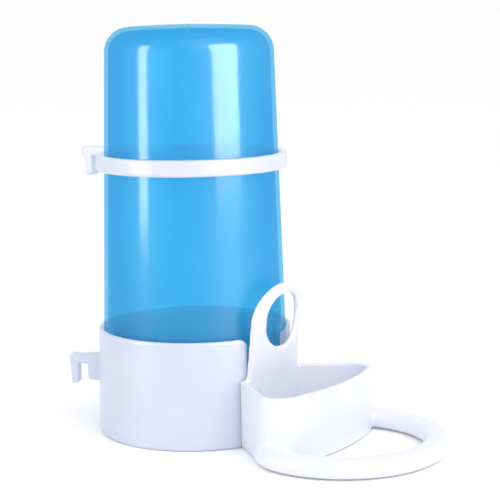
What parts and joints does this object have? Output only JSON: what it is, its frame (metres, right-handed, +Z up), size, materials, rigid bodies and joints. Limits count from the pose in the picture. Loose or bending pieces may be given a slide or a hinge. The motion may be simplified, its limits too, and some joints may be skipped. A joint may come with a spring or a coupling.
{
  "type": "cage water bottle",
  "caption": "Clip-on cage drinker: a blue tank stands mouth down in a lift-out dish with trough, round perch and pull loop, in a hooked cup, with a hooked steadying hoop.",
  "frame": {"origin": "on the tank's axis at the underside of the cup, where the cup stands on a surface", "axes": "+Z up along the tank's axis, +X from the axis towards the front of the trough, +Y to the left seen from behind the tank"},
  "size_m": [0.1457, 0.0722, 0.1442],
  "materials": {
    "tank_blue": "clear blue, glossy",
    "cup_white": "semi-gloss",
    "dish_white": "semi-gloss",
    "hoop_white": "semi-gloss"
  },
  "bodies": {
    "cup": {"cup": "cup_white"},
    "dish": {"dish": "dish_white"},
    "tank": {"tank": "tank_blue"},
    "hoop": {"hoop": "hoop_white"}
  },
  "joints": [
    {"name": "dish_lift", "type": "slide", "parent": "cup", "child": "dish", "axis": [0, 0, 1], "range_m": [0, 0.045]},
    {"name": "tank_lift", "type": "slide", "parent": "dish", "child": "tank", "axis": [0, 0, 1], "range_m": [0, 0.04]},
    {"name": "hoop_turn", "type": "hinge", "parent": "tank", "child": "hoop", "pos_m": [0, 0, 0.0967], "axis": [0, 0, 1], "continuous": true}
  ]
}
